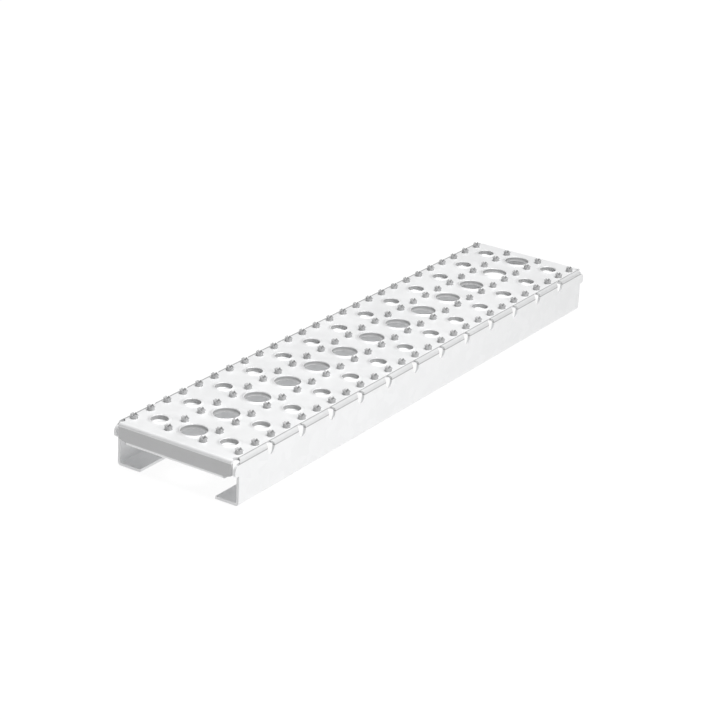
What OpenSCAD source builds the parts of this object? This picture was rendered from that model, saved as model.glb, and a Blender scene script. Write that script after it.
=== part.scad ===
// Perforated channel plank: one sheet, pressed, punched and folded.
// X runs along the plank, Y across it, Z up. The origin is on the floor,
// under the middle of the plank. Every node is one zone of the folded sheet,
// cut from its neighbours at the fold lines.

/* [Plank] */
// Length over the folded ends
plank_l = 700; // [690:1:760]
// Width over the side walls
plank_w = 150; // [146:1:180]
// Height from the underside of the feet to the walking surface
plank_h = 50; // [44:1:80]
// Sheet thickness
sheet_t = 3; // [2:0.5:3.5]

/* [Folds] */
// Outer radius of the long folds beside the walking surface
fold_r = 4.4; // [3.6:0.2:5]
// Outer radius of the long folds above the feet
foot_fold_r = 3.6; // [3.6:0.2:6]
// Outer radius of the folds across the ends
end_r = 4; // [3.6:0.2:7]
// Width of each inturned foot, from the outer face of its wall
foot_w = 28; // [20:1:36]
// Distance the side walls stop short of the end flaps
wall_setback = 6.4; // [3:0.2:9]
// Depth of the ears that the side walls keep beside the end flaps
ear_h = 17; // [16:1:20]
// Radius of the upper outer corner of each ear
ear_r = 7; // [4:0.5:8]
// Depth of the end flaps below the walking surface
flap_h = 22.8; // [18:0.2:26]
// Width of the end flaps
flap_w = 139; // [134:1:141]
// Width of the rolled lower edge of the end flaps
hem_w = 120; // [90:1:126]
// Length of the return behind the rolled lower edge
hem_return = 6; // [2:1:12]
// Height by which the corners of the end flaps stop short of the rolled edge
corner_cut = 3.2; // [3:0.2:4]
// Further rise of these corners towards the ears
corner_rise = 2.8; // [0:0.2:3]

/* [Perforation] */
// Distance between two crowns along the plank
pitch = 26.5; // [26:0.1:27]
// Distance between two rows of crowns across the plank
row_gap = 43.2; // [42:0.2:44]
// Number of crowns in each row
crowns_per_row = 26; // [26:2:26]
// Radius of the large holes on the centre line
large_r = 14; // [11:0.5:14.5]
// Radius of the small closed cups beside them
small_r = 9.2; // [7:0.2:10]
// Depth of the cup floors below the walking surface
cup_depth = 4.6; // [2:0.2:5]
// Radius of the plain holes that sit on the long folds
edge_r = 6; // [5:0.2:7]
// Depth below the walking surface at which these holes leave the side walls
edge_drop = 3.6; // [0:0.2:5]
// Radius of the relief holes where the long folds meet the end folds
relief_r = 3.5; // [2.5:0.1:4]
// Height of the large pressed rims above the walking surface
rim_rise = 1.2; // [0.6:0.1:3]
// Height of the cup rims above the walking surface
cup_rise = 1; // [0.6:0.1:3]
// Depth of the pressed rims below the underside of the sheet
rim_drop = 1; // [0.5:0.1:2]
// Radial width of the slope from a rim down to the flat sheet
rim_slope = 4; // [3:0.5:5.5]

/* [Crowns] */
// Height of the toothed crowns above the walking surface
crown_h = 5; // [3:0.5:6]
// Radius of a crown where it leaves the sheet
crown_base_r = 4.1; // [3.8:0.1:4.4]
// Radius of a crown across its teeth
crown_tip_r = 4.4; // [4:0.1:4.6]
// Depth of the gaps between teeth
tooth_h = 2.6; // [1:0.2:3]

/* [Hidden] */
$fn = 64;

half_l = plank_l / 2;
half_w = plank_w / 2;
wall_l = plank_l - 2 * wall_setback;
deck_l = plank_l - 2 * end_r;
fold_l = plank_l - 2 * ear_r;
ear_l = wall_setback + ear_r;
deck_half_w = half_w - fold_r;
flap_edge_z = plank_h - flap_h + end_r;
ear_tip_r = 3;
lip_land = 0.8;
hem_slit = 0.6;
crown_hole_r = 2.2;
crown_mouth_r = 3.2;
tooth_gap = 2.2;
outer_row_y = 1.5 * row_gap;
inner_row_y = 0.5 * row_gap;
small_row_y = row_gap;

// The large and small holes share one set of columns, two crown pitches apart.
hole_columns = crowns_per_row / 2;
function crown_x(i) = (i - (crowns_per_row - 1) / 2) * pitch;
function hole_x(k) = (k - (hole_columns - 1) / 2) * 2 * pitch;
// The fold holes sit halfway between the hole columns.
function edge_x(k) = (k - hole_columns / 2) * 2 * pitch;

sheet_colour = [0.86, 0.87, 0.88];
rim_colour = [0.74, 0.76, 0.78];
crown_colour = [0.62, 0.64, 0.66];

// Quarter ring that joins two flat zones at right angles, in the first quadrant.
module fold_profile(outer_r) {
    intersection() {
        difference() {
            circle(outer_r);
            circle(outer_r - sheet_t);
        }
        square(outer_r);
    }
}

// Extrudes a profile drawn in Y and Z along X, centred on X = 0.
module along_x(length) {
    rotate([90, 0, 90])
        linear_extrude(length, center = true)
            children();
}

// Copies its children to the other side of the plank when side is -1.
module on_side(side) {
    mirror([0, side < 0 ? 1 : 0, 0])
        children();
}

// Turns its children to the other end of the plank when end is -1.
module on_end(end) {
    mirror([end < 0 ? 1 : 0, 0, 0])
        children();
}

// Holes drilled at 45 degrees through the long fold on the left side.
module edge_holes() {
    for (k = [1 : hole_columns - 1])
        translate([edge_x(k), half_w, plank_h - edge_drop])
            rotate([-45, 0, 0])
                cylinder(h = 8 * sheet_t, r = edge_r, center = true);
}

// Small upright holes that free the corners of the deck for folding.
module relief_holes() {
    for (end = [-1, 1])
        translate([end * fold_l / 2, deck_half_w, plank_h])
            cylinder(h = 4 * sheet_t, r = relief_r, center = true);
}

module deck_plate() {
    color(sheet_colour)
        difference() {
            translate([-deck_l / 2, -deck_half_w, plank_h - sheet_t])
                cube([deck_l, 2 * deck_half_w, sheet_t]);
            for (k = [0 : hole_columns - 1])
                translate([hole_x(k), 0, plank_h])
                    cylinder(h = 3 * sheet_t, r = large_r + rim_slope, center = true);
            for (k = [0 : hole_columns - 1], side = [-1, 1])
                translate([hole_x(k), side * small_row_y, plank_h])
                    cylinder(h = 3 * sheet_t, r = small_r + rim_slope, center = true);
            for (i = [0 : crowns_per_row - 1], y = [inner_row_y, outer_row_y], side = [-1, 1])
                translate([crown_x(i), side * y, plank_h])
                    cylinder(h = 3 * sheet_t, r = crown_hole_r, center = true);
            for (side = [-1, 1])
                on_side(side) {
                    edge_holes();
                    relief_holes();
                }
        }
}

module long_fold(side) {
    color(sheet_colour)
        on_side(side)
            difference() {
                translate([0, deck_half_w, plank_h - fold_r])
                    along_x(fold_l)
                        fold_profile(fold_r);
                edge_holes();
                relief_holes();
            }
}

// What is cut from an outer corner to round it, for a corner in the first quadrant.
module corner_waste(corner_r) {
    difference() {
        square(corner_r);
        circle(corner_r);
    }
}

// Wall outline in X and Z, with an ear at the top of each end.
module wall_outline() {
    top = plank_h - fold_r;
    ear_low = plank_h - ear_h;
    translate([-wall_l / 2, foot_fold_r])
        square([wall_l, top - foot_fold_r]);
    for (end = [-1, 1])
        mirror([end < 0 ? 1 : 0, 0])
            difference() {
                translate([half_l - ear_l, ear_low])
                    square([ear_l, top - ear_low]);
                translate([half_l - ear_r, top - ear_r])
                    corner_waste(ear_r);
                translate([half_l - ear_tip_r, ear_low + ear_tip_r])
                    mirror([0, 1])
                        corner_waste(ear_tip_r);
            }
}

module side_wall(side) {
    color(sheet_colour)
        on_side(side)
            difference() {
                translate([0, half_w, 0])
                    rotate([90, 0, 0])
                        linear_extrude(sheet_t)
                            wall_outline();
                edge_holes();
            }
}

module foot_fold(side) {
    color(sheet_colour)
        on_side(side)
            translate([0, half_w - foot_fold_r, foot_fold_r])
                along_x(wall_l)
                    mirror([0, 1])
                        fold_profile(foot_fold_r);
}

module foot(side) {
    color(sheet_colour)
        on_side(side)
            translate([-wall_l / 2, half_w - foot_w, 0])
                cube([wall_l, foot_w - foot_fold_r, sheet_t]);
}

// Extrudes a profile drawn in X and Z across the plank, centred on Y = 0.
module across_y(width) {
    rotate([90, 0, 0])
        linear_extrude(width, center = true)
            children();
}

module end_fold(end) {
    color(sheet_colour)
        difference() {
            on_end(end)
                translate([half_l - end_r, 0, plank_h - end_r])
                    across_y(flap_w)
                        fold_profile(end_r);
            for (side = [-1, 1])
                on_side(side)
                    relief_holes();
        }
}

// Flap outline in Y and Z: its corners run on below the start of the hem.
module flap_outline() {
    top = plank_h - end_r;
    edge_y = flap_w / 2;
    corner_y = hem_w / 2 + hem_slit;
    corner_z = plank_h - flap_h + corner_cut;
    polygon([[-edge_y, top], [-edge_y, corner_z + corner_rise], [-corner_y, corner_z],
             [-corner_y, flap_edge_z], [corner_y, flap_edge_z],
             [corner_y, corner_z], [edge_y, corner_z + corner_rise], [edge_y, top]]);
}

module end_flap(end) {
    color(sheet_colour)
        on_end(end)
            translate([half_l - sheet_t, 0, 0])
                rotate([90, 0, 90])
                    linear_extrude(sheet_t)
                        flap_outline();
}

module end_hem(end) {
    color(sheet_colour)
        on_end(end)
            translate([half_l - end_r, 0, flap_edge_z])
                across_y(hem_w) {
                    mirror([0, 1])
                        fold_profile(end_r);
                    translate([-hem_return, -end_r])
                        square([hem_return, sheet_t]);
                }
}

// Radius of an arc that runs level into the sheet and climbs to a lip.
function scoop_r(run, rise) = (run * run + rise * rise) / (2 * rise);

// Section of a pressed rim: a straight inner wall, a narrow land on top, and
// hollow slopes that run out into the flat sheet above and below.
module rim_section(hole_r, rise, drop) {
    run = rim_slope - lip_land;
    difference() {
        translate([hole_r, -sheet_t - drop])
            square([rim_slope, sheet_t + drop + rise]);
        translate([hole_r + rim_slope, scoop_r(run, rise)])
            circle(scoop_r(run, rise));
        translate([hole_r + rim_slope, -sheet_t - scoop_r(run, drop)])
            circle(scoop_r(run, drop));
    }
}

module large_rims() {
    color(rim_colour)
        for (k = [0 : hole_columns - 1])
            translate([hole_x(k), 0, plank_h])
                rotate_extrude()
                    rim_section(large_r, rim_rise, rim_drop);
}

module cups(side) {
    color(rim_colour)
        for (k = [0 : hole_columns - 1])
            translate([hole_x(k), side * small_row_y, plank_h])
                rotate_extrude() {
                    rim_section(small_r, cup_rise, cup_depth);
                    translate([0, -sheet_t - cup_depth])
                        square([small_r + lip_land, sheet_t]);
                }
}

// Burst crown: a short tapered tube whose upper edge is torn into six teeth.
module crown() {
    difference() {
        cylinder(h = crown_h, r1 = crown_base_r, r2 = crown_tip_r);
        cylinder(h = crown_h, r1 = crown_hole_r, r2 = crown_mouth_r);
        for (turn = [0 : 60 : 120])
            rotate([90, 0, turn])
                linear_extrude(3 * crown_base_r, center = true)
                    polygon([[0, crown_h - tooth_h], [tooth_gap, crown_h + 1], [-tooth_gap, crown_h + 1]]);
    }
}

module crown_row(y) {
    color(crown_colour)
        for (i = [0 : crowns_per_row - 1])
            translate([crown_x(i), y, plank_h])
                crown();
}

deck_plate();
long_fold(1);  // long_fold_left
long_fold(-1);  // long_fold_right
side_wall(1);  // side_wall_left
side_wall(-1);  // side_wall_right
foot_fold(1);  // foot_fold_left
foot_fold(-1);  // foot_fold_right
foot(1);  // foot_left
foot(-1);  // foot_right
end_fold(-1);  // end_fold_front
end_fold(1);  // end_fold_back
end_flap(-1);  // end_flap_front
end_flap(1);  // end_flap_back
end_hem(-1);  // end_hem_front
end_hem(1);  // end_hem_back
large_rims();
cups(1);  // cups_left
cups(-1);  // cups_right
crown_row(outer_row_y);  // crowns_outer_left
crown_row(inner_row_y);  // crowns_inner_left
crown_row(-inner_row_y);  // crowns_inner_right
crown_row(-outer_row_y);  // crowns_outer_right
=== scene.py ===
import math

import bmesh
import bpy
from mathutils import Matrix, Vector


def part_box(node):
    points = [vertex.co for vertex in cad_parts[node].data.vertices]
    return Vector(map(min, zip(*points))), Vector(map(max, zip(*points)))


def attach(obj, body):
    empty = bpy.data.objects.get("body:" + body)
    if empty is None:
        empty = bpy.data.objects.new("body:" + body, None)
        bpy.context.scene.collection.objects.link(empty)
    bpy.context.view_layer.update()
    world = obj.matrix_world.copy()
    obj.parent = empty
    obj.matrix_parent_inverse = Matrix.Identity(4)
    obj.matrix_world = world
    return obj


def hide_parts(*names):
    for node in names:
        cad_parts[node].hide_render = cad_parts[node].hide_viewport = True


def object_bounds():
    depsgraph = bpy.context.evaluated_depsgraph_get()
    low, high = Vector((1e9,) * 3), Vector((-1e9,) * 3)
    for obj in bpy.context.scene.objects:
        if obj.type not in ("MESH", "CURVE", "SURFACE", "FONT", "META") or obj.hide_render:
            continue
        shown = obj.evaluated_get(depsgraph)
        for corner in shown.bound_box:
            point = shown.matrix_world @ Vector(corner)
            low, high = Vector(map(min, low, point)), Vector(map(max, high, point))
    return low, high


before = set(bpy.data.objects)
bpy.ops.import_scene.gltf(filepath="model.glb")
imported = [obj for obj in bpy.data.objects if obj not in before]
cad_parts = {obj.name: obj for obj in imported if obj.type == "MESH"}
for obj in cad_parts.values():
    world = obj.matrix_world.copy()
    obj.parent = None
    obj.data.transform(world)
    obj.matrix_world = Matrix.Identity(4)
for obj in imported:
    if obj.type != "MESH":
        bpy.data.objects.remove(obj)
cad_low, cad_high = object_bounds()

MM = 0.001
TAU = 2 * math.pi
HOLE_COLUMNS = 13
CROWNS_PER_ROW = 26

deck_low, deck_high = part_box("deck_plate")
DECK_TOP = deck_high.z
SHEET = deck_high.z - deck_low.z
FOLD_Y = deck_high.y
FOLD_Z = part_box("side_wall_left")[1].z


# ---------------------------------------------------------------- materials

def node_tree(name):
    material = bpy.data.materials.new(name)
    material.use_nodes = True
    tree = material.node_tree
    tree.nodes.clear()
    return material, tree


def add(tree, kind, inputs=None, **settings):
    node = tree.nodes.new(kind)
    for key, value in settings.items():
        setattr(node, key, value)
    for key, value in (inputs or {}).items():
        if isinstance(value, bpy.types.NodeSocket):
            tree.links.new(value, node.inputs[key])
        else:
            node.inputs[key].default_value = value
    return node


def noise(tree, vector, scale, detail=4.0, roughness=0.55):
    return add(tree, "ShaderNodeTexNoise", {
        "Vector": vector, "Scale": scale, "Detail": detail, "Roughness": roughness,
    }).outputs["Fac"]


def remap(tree, value, low, high, from_low=0.0, from_high=1.0):
    return add(tree, "ShaderNodeMapRange", {
        "Value": value, "From Min": from_low, "From Max": from_high, "To Min": low, "To Max": high,
    }).outputs["Result"]


def maths(tree, operation, a, b=0.0):
    return add(tree, "ShaderNodeMath", {0: a, 1: b}, operation=operation).outputs[0]


def mix_colour(tree, factor, a, b, blend="MIX"):
    node = add(tree, "ShaderNodeMix", data_type="RGBA", blend_type=blend)
    for socket, value in ((0, factor), (6, a), (7, b)):
        if isinstance(value, bpy.types.NodeSocket):
            tree.links.new(value, node.inputs[socket])
        else:
            node.inputs[socket].default_value = value
    return node.outputs[2]


def grey(value, alpha=1.0):
    return (value, value * 1.004, value * 1.01, alpha)


SPANGLE_SCALE = 95.0
CLOUD_SCALE = 14.0
ROLLING_SCALE = (12.0, 900.0, 900.0)
BUMP_DISTANCE = 0.4 * MM
# Painted shade along the long folds: widths, reach and grey of the dark fold lines.
CREASE_CORE = 0.35 * MM
CREASE_EDGE = 0.95 * MM
CREASE_REACH = 2 * MM
FOLD_SHADE_GREY = 0.30
# Painted shade on the walls of holes and cups: blend height and grey.
PIT_BLEND = 0.4 * MM
PIT_SHADE_GREY = 0.34


def fold_shade_lines(tree, place):
    """1 on the thin lines of painted shade where the long folds meet the deck and the walls, 0 elsewhere.
    """
    split = add(tree, "ShaderNodeSeparateXYZ", {"Vector": place})
    across = maths(tree, "ABSOLUTE", split.outputs["Y"])
    height = split.outputs["Z"]
    near_deck = maths(tree, "ABSOLUTE", maths(tree, "SUBTRACT", across, FOLD_Y))
    near_wall = maths(tree, "ABSOLUTE", maths(tree, "SUBTRACT", height, FOLD_Z))
    deck_line = remap(tree, near_deck, 1.0, 0.0, CREASE_CORE, CREASE_EDGE)
    wall_line = remap(tree, near_wall, 1.0, 0.0, CREASE_CORE, CREASE_EDGE)
    on_deck = maths(tree, "GREATER_THAN", height, FOLD_Z + CREASE_REACH)
    on_wall = maths(tree, "GREATER_THAN", across, FOLD_Y + CREASE_REACH)
    return maths(tree, "MAXIMUM", maths(tree, "MULTIPLY", deck_line, on_deck),
                 maths(tree, "MULTIPLY", wall_line, on_wall))


def pit_wall_shade_mask(tree, place):
    """Painted shade mask: 1 on the upright walls of holes and cups below the walking surface, 0 elsewhere.
    """
    normal = add(tree, "ShaderNodeNewGeometry").outputs["Normal"]
    steep = maths(tree, "ABSOLUTE", add(tree, "ShaderNodeSeparateXYZ", {"Vector": normal}).outputs["Z"])
    height = add(tree, "ShaderNodeSeparateXYZ", {"Vector": place}).outputs["Z"]
    upright = remap(tree, steep, 1.0, 0.0, 0.3, 0.8)
    below = remap(tree, height, 1.0, 0.0, DECK_TOP - PIT_BLEND, DECK_TOP + PIT_BLEND)
    return maths(tree, "MULTIPLY", upright, below)


def zinc_sheet(name, base, dark, metallic, rough_low, rough_high, wear=0.0, fold_shade=0.0, pit_shade=0.0):
    """Satin zinc-coated sheet: faint spangle, rolling lines along X, cloudy roughness, rubbed edges.

    Painted shade: optional thin dark lines along the long folds, and optional darkening of the walls of
    holes and cups.
    """
    material, tree = node_tree(name)
    place = add(tree, "ShaderNodeTexCoord").outputs["Object"]
    spangle = add(tree, "ShaderNodeTexVoronoi", {
        "Vector": place, "Scale": SPANGLE_SCALE, "Randomness": 1.0}).outputs["Color"]
    grain = add(tree, "ShaderNodeSeparateColor", {"Color": spangle}).outputs[0]
    cloud = noise(tree, place, CLOUD_SCALE, 5.0, 0.6)
    stretched = add(tree, "ShaderNodeMapping", {"Vector": place, "Scale": ROLLING_SCALE}).outputs[0]
    lines = noise(tree, stretched, 1.0, 3.0, 0.6)
    tone = maths(tree, "ADD", maths(tree, "MULTIPLY", grain, 0.35), maths(tree, "MULTIPLY", cloud, 0.65))
    colour = mix_colour(tree, remap(tree, tone, 0.0, 1.0, 0.25, 0.75), grey(dark), grey(base))
    pointed = add(tree, "ShaderNodeNewGeometry").outputs["Pointiness"]
    rubbed = remap(tree, pointed, 0.0, wear, 0.52, 0.62)
    colour = mix_colour(tree, rubbed, colour, grey(min(1.0, base * 1.12)))
    # Painted shade: thin dark lines where the long folds meet the deck and the walls.
    if fold_shade:
        fold_shade_mix = maths(tree, "MULTIPLY", fold_shade_lines(tree, place), fold_shade)
        colour = mix_colour(tree, fold_shade_mix, colour, grey(FOLD_SHADE_GREY))
    # Painted shade darkening the upright walls of holes and cups below the deck.
    if pit_shade:
        shade = maths(tree, "MULTIPLY", pit_wall_shade_mask(tree, place), pit_shade)
        colour = mix_colour(tree, shade, colour, grey(PIT_SHADE_GREY))
    rough = maths(tree, "ADD", remap(tree, cloud, rough_low, rough_high, 0.3, 0.7),
                  remap(tree, lines, -0.03, 0.03))
    height = maths(tree, "ADD", maths(tree, "MULTIPLY", lines, 0.35), cloud)
    bump = add(tree, "ShaderNodeBump", {"Height": height, "Strength": 0.06, "Distance": BUMP_DISTANCE})
    shader = add(tree, "ShaderNodeBsdfPrincipled", {
        "Base Color": colour, "Metallic": metallic, "Roughness": rough, "Normal": bump.outputs["Normal"]})
    add(tree, "ShaderNodeOutputMaterial", {"Surface": shader.outputs[0]})
    return material


SHEET_METAL = zinc_sheet("zinc_sheet", 0.90, 0.86, 0.25, 0.42, 0.52, fold_shade=0.7)
# Painted shade: the same zinc sheet made darker on the long folds.
FOLD_SHADED_METAL = zinc_sheet("folded_zinc_painted_shade", 0.66, 0.60, 0.25, 0.40, 0.50, wear=0.6, fold_shade=0.7)
# Painted shade: the same zinc sheet made a little darker on the side walls.
WALL_SHADED_METAL = zinc_sheet("wall_zinc_painted_shade", 0.86, 0.82, 0.2, 0.44, 0.54, fold_shade=0.7)
# Painted shade: the same zinc sheet made much darker on the end flaps, which face away from the light.
END_SHADED_METAL = zinc_sheet("end_zinc_painted_shade", 0.55, 0.51, 0.22, 0.44, 0.54, wear=0.6)
# Painted shade: the same zinc sheet made darker on the end hems.
HEM_SHADED_METAL = zinc_sheet("hem_zinc_painted_shade", 0.80, 0.75, 0.25, 0.42, 0.52, wear=0.6)
# The rims and cups carry painted shade on their pit walls.
RIM_METAL = zinc_sheet("pressed_rim", 0.89, 0.84, 0.25, 0.40, 0.50, wear=0.6, pit_shade=0.8)
# Painted shade: the same zinc sheet made darker on the burst crowns.
CROWN_SHADED_METAL = zinc_sheet("torn_crown_painted_shade", 0.54, 0.44, 0.3, 0.42, 0.55, wear=0.5)


def dress(piece, material):
    piece.data.materials.clear()
    piece.data.materials.append(material)


# ------------------------------------------------------------------- pieces

def new_piece(name, mesh, material, slot, *nodes):
    piece = bpy.data.objects.new(name, mesh)
    bpy.context.scene.collection.objects.link(piece)
    mesh.materials.append(material)
    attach(piece, "root")
    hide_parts(*nodes)


def mesh_from(bm, name):
    bmesh.ops.recalc_face_normals(bm, faces=bm.faces)
    for face in bm.faces:
        face.smooth = True
    mesh = bpy.data.meshes.new(name)
    bm.to_mesh(mesh)
    bm.free()
    return mesh


def arc(centre_r, centre_z, radius, start, end, steps):
    """Points of an arc in the (radius, height) plane; angles in degrees."""
    points = []
    for step in range(steps + 1):
        angle = math.radians(start + (end - start) * step / steps)
        points.append((centre_r + radius * math.cos(angle), centre_z + radius * math.sin(angle)))
    return points


def spin(bm, profile, centre, segments, closed, wobble=None):
    """Turns a (radius, height) profile about a vertical axis at centre."""
    rings = []
    for row, (radius, height) in enumerate(profile):
        if radius == 0.0:
            rings.append([bm.verts.new(centre + Vector((0, 0, height)))])
            continue
        ring = []
        for step in range(segments):
            angle = TAU * step / segments
            r, z = wobble(row, angle, radius, height) if wobble else (radius, height)
            ring.append(bm.verts.new(centre + Vector((r * math.cos(angle), r * math.sin(angle), z))))
        rings.append(ring)
    pairs = list(zip(rings, rings[1:]))
    if closed:
        pairs.append((rings[-1], rings[0]))
    for a, b in pairs:
        for step in range(segments):
            after = (step + 1) % segments
            if len(a) == 1:
                bm.faces.new((a[0], b[step], b[after]))
            elif len(b) == 1:
                bm.faces.new((a[step], b[0], a[after]))
            else:
                bm.faces.new((a[step], a[after], b[after], b[step]))


def spread(low, high, count):
    """Centres of count equal round features that fill a node's box along X."""
    radius = (high.y - low.y) / 2
    first, last = low.x + radius, high.x - radius
    middle = (low.y + high.y) / 2
    return radius, [Vector((first + (last - first) * i / (count - 1), middle, 0)) for i in range(count)]


LIP = 0.6 * MM
SLOPE = 4 * MM
RIM_SEGMENTS = 72
CUP_SEGMENTS = 56
CUP_FILLET = 1.4 * MM
CUP_CHAMFER = 1.2 * MM
CROWN_SEGMENTS = 48
PETALS = 6
BENT_ANGLE = math.radians(-57)
BENT_SPREAD = math.radians(24)


def scoop(hole, outer, rise, steps=8):
    """Hollow slope from the sheet's level at outer up to the lip of a pressed rim."""
    run = outer - hole - LIP
    radius = (run * run + rise * rise) / (2 * rise)
    points = []
    for step in range(steps + 1):
        along = run * step / steps
        points.append((outer - along, radius - math.sqrt(radius * radius - along * along)))
    return points


def build_large_rims():
    low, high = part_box("large_rims")
    outer, centres = spread(low, high, HOLE_COLUMNS)
    rise = high.z - DECK_TOP
    drop = DECK_TOP - SHEET - low.z
    hole = outer - SLOPE
    top = scoop(hole, outer, rise)[:-1]
    top += arc(hole + LIP, rise - LIP, LIP, 80, 180, 8)
    under = [(r, -SHEET - z) for r, z in scoop(hole, outer, drop, 4)]
    profile = top + [(hole, -SHEET - drop)] + under[::-1]
    profile = [(r, DECK_TOP + z) for r, z in profile]
    bm = bmesh.new()
    for centre in centres:
        spin(bm, profile, centre, RIM_SEGMENTS, closed=True)
    mesh = mesh_from(bm, "large_rim_rings")
    new_piece("large_rim_rings", mesh, RIM_METAL, "pressed_rims", "large_rims")


def build_cups(side):
    node = "cups_" + side
    low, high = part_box(node)
    outer, centres = spread(low, high, HOLE_COLUMNS)
    rise = high.z - DECK_TOP
    depth = DECK_TOP - SHEET - low.z
    hole = outer - SLOPE
    top = scoop(hole, outer, rise)[:-1]
    top += arc(hole + LIP, rise - LIP, LIP, 80, 180, 8)
    top += arc(hole - CUP_FILLET, CUP_FILLET - depth, CUP_FILLET, 0, -90, 6)
    top += [(hole * 0.5, -depth), (0.0, -depth)]
    under = [(0.0, -SHEET - depth), (hole, -SHEET - depth),
             (hole + CUP_CHAMFER, -SHEET - depth + CUP_CHAMFER),
             (outer - 1.6 * MM, -SHEET - 0.3 * MM), (outer, -SHEET)]
    bm = bmesh.new()
    for centre in centres:
        spin(bm, [(r, DECK_TOP + z) for r, z in top], centre, CUP_SEGMENTS, closed=False)
        spin(bm, [(r, DECK_TOP + z) for r, z in under], centre, CUP_SEGMENTS, closed=False)
    bmesh.ops.remove_doubles(bm, verts=bm.verts, dist=0.01 * MM)
    mesh = mesh_from(bm, "cup_row_" + side)
    new_piece("cup_row_" + side, mesh, RIM_METAL, "pressed_rims", node)


def build_crowns(row):
    node = "crowns_" + row
    low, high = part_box(node)
    outer, centres = spread(low, high, CROWNS_PER_ROW)
    height = high.z - DECK_TOP
    hole = outer * 0.5
    profile = [(outer * 0.95, 0.0), (outer * 0.88, height * 0.15), (outer * 0.86, height * 0.4),
               (outer * 0.89, height * 0.65), (outer * 0.94, height * 0.86), (outer * 0.93, height * 0.96),
               (outer * 0.86, height), (outer * 0.77, height * 0.93), (outer * 0.66, height * 0.7),
               (outer * 0.58, height * 0.4), (hole, 0.0), (hole, -SHEET * 0.5)]

    def torn(row_number, angle, radius, z):
        """Six rounded petals, and on one side a torn tooth that leans out at half height."""
        if row_number < 1 or row_number > 9:
            return radius, DECK_TOP + z
        share = z / height
        petal = abs(math.cos((angle - BENT_ANGLE) * PETALS / 2))
        out = radius * (1.0 - 0.10 * share * (1.0 - petal))
        up = z * (1.0 - 0.42 * share * (1.0 - petal ** 0.6))
        away = abs((angle - BENT_ANGLE + math.pi) % TAU - math.pi)
        if away < BENT_SPREAD:
            lean = 1.0 - away / BENT_SPREAD
            out *= 1.0 + 0.16 * share * lean
            up *= 1.0 - 0.40 * share * lean
        return out, DECK_TOP + up

    bm = bmesh.new()
    for centre in centres:
        spin(bm, profile, centre, CROWN_SEGMENTS, closed=False, wobble=torn)
    mesh = mesh_from(bm, "crown_row_" + row)
    new_piece("crown_row_" + row, mesh, CROWN_SHADED_METAL, "crowns", node)


for name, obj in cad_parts.items():
    if name.startswith("long_fold"):
        dress(obj, FOLD_SHADED_METAL)
    elif name.startswith("end_flap"):
        dress(obj, END_SHADED_METAL)
    elif name.startswith("end_hem"):
        dress(obj, HEM_SHADED_METAL)
    elif name.startswith("side_wall"):
        dress(obj, WALL_SHADED_METAL)
    else:
        dress(obj, SHEET_METAL)

build_large_rims()
for side in ("left", "right"):
    build_cups(side)
for row in ("outer_left", "inner_left", "inner_right", "outer_right"):
    build_crowns(row)


# ------------------------------------------------------- floor, light, camera

def plane(name, size, place, material):
    bm = bmesh.new()
    bmesh.ops.create_grid(bm, x_segments=1, y_segments=1, size=size / 2)
    mesh = bpy.data.meshes.new(name)
    bm.to_mesh(mesh)
    bm.free()
    mesh.materials.append(material)
    obj = bpy.data.objects.new(name, mesh)
    obj.location = place
    bpy.context.scene.collection.objects.link(obj)


FLOOR_SIZE = 40.0
FLOOR_GAP = 0.2 * MM
floor_material, floor_tree = node_tree("pale_floor")
floor_shader = add(floor_tree, "ShaderNodeBsdfPrincipled", {
    "Base Color": (0.10, 0.10, 0.10, 1.0), "Roughness": 0.9, "Specular IOR Level": 0.0,
    "Emission Color": (1.0, 1.0, 1.0, 1.0), "Emission Strength": 0.93})
add(floor_tree, "ShaderNodeOutputMaterial", {"Surface": floor_shader.outputs[0]})
plane("floor", FLOOR_SIZE, (0, 0, cad_low.z - FLOOR_GAP), floor_material)

world = bpy.data.worlds.new("studio")
bpy.context.scene.world = world
world.use_nodes = True
world.node_tree.nodes["Background"].inputs["Color"].default_value = (1.0, 1.0, 1.0, 1.0)
world.node_tree.nodes["Background"].inputs["Strength"].default_value = 0.08


def soft_sun(name, azimuth, elevation, strength, spread_angle):
    """Broad even light from a compass direction (azimuth 0 is from +X) and a height, in degrees."""
    light = bpy.data.lights.new(name, "SUN")
    light.energy = strength
    light.angle = math.radians(spread_angle)
    obj = bpy.data.objects.new(name, light)
    a, e = math.radians(azimuth), math.radians(elevation)
    source = Vector((math.cos(a) * math.cos(e), math.sin(a) * math.cos(e), math.sin(e)))
    obj.rotation_euler = (-source).to_track_quat("-Z", "Y").to_euler()
    bpy.context.scene.collection.objects.link(obj)


soft_sun("top_light", -60, 81, 3.45, 40)


def softbox(name, place, target, size, power):
    light = bpy.data.lights.new(name, "AREA")
    light.shape = "SQUARE"
    light.size = size
    light.energy = power
    obj = bpy.data.objects.new(name, light)
    obj.location = place
    obj.rotation_euler = (Vector(target) - Vector(place)).to_track_quat("-Z", "Y").to_euler()
    bpy.context.scene.collection.objects.link(obj)


softbox("near_light", (-0.25, -0.9, 0.45), (-0.2, 0, 0), 0.5, 3.4)

CAMERA_LENS = 112.05
CAMERA_PLACE = Vector((-1.9245, -1.2149, 0.97225))
CAMERA_TARGET = Vector((-0.0127, 0.0054, 0.02625))
CAMERA_ROLL = math.radians(-2.976)
camera_data = bpy.data.cameras.new("camera")
camera_data.lens = CAMERA_LENS
camera_data.sensor_width = 36.0
camera_data.clip_end = 100.0
camera = bpy.data.objects.new("camera", camera_data)
bpy.context.scene.collection.objects.link(camera)
bpy.context.scene.camera = camera

aim = (CAMERA_TARGET - CAMERA_PLACE).to_track_quat("-Z", "Y").to_matrix().to_4x4()
camera.matrix_world = Matrix.Translation(CAMERA_PLACE) @ aim @ Matrix.Rotation(-CAMERA_ROLL, 4, "Z")

bpy.context.scene.view_settings.view_transform = "Standard"
